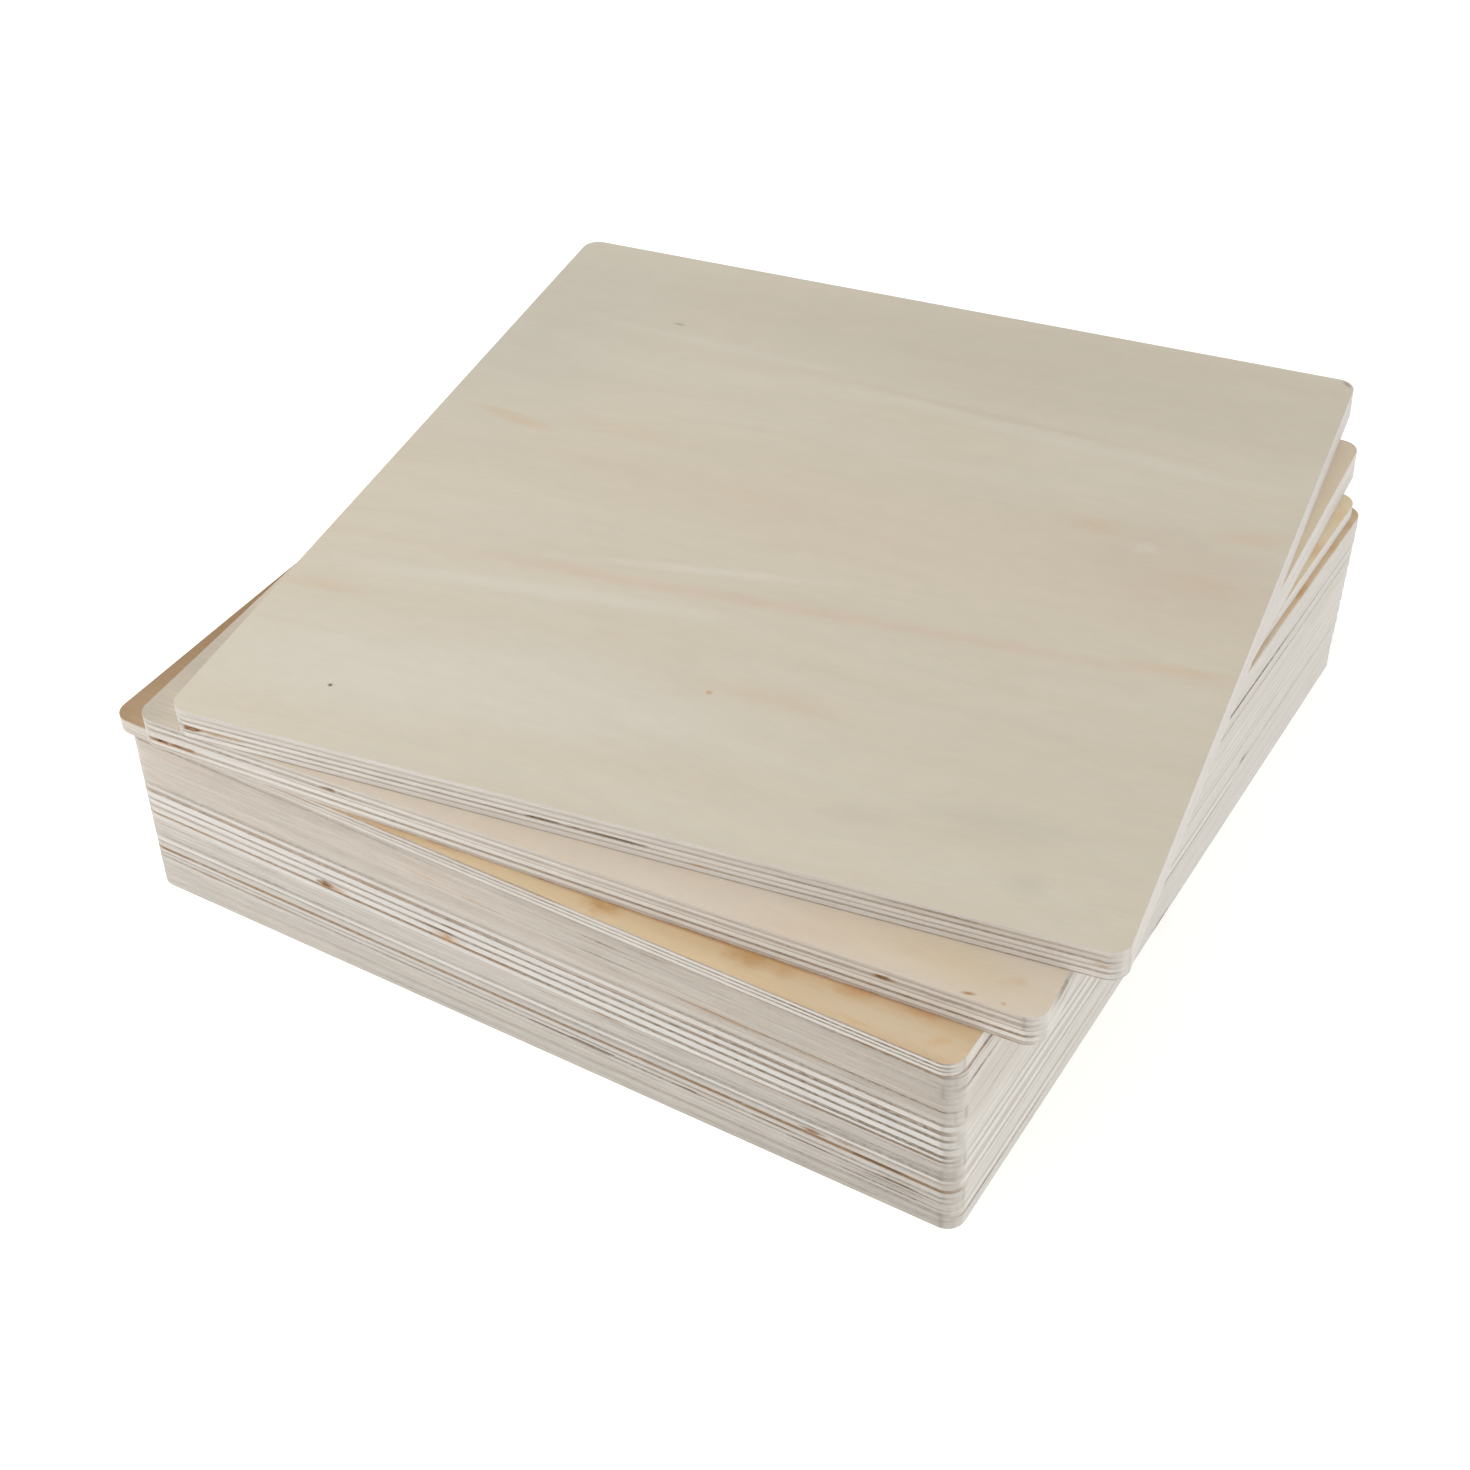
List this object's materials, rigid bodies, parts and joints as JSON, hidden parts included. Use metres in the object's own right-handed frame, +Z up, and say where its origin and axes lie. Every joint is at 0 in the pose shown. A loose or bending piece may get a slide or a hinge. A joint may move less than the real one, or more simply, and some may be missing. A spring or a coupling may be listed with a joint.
{
  "type": "stack of plywood sheets",
  "caption": "Flat stack of square plywood sheets with rounded corners, squared below and fanned out at the top.",
  "frame": {"origin": "centre of the underside of the lowest sheet, on the surface that the stack lies on", "axes": "+Z up through the stack, +X and +Y square to the edges of the lowest sheet"},
  "size_m": [0.3404, 0.3408, 0.0962],
  "materials": {
    "pale_birch": "sanded, unfinished",
    "golden_birch": "sanded, unfinished"
  },
  "bodies": {
    "root": {"sheet_01": "pale_birch", "sheet_02": "pale_birch", "sheet_03": "pale_birch", "sheet_04": "pale_birch", "sheet_05": "pale_birch", "sheet_06": "pale_birch", "sheet_07": "pale_birch", "sheet_08": "pale_birch", "sheet_09": "pale_birch", "sheet_10": "pale_birch", "sheet_11": "pale_birch", "sheet_12": "pale_birch", "sheet_13": "golden_birch", "sheet_14": "golden_birch", "sheet_15": "pale_birch", "sheet_16": "pale_birch", "sheet_17": "pale_birch", "sheet_18": "pale_birch"}
  },
  "joints": []
}
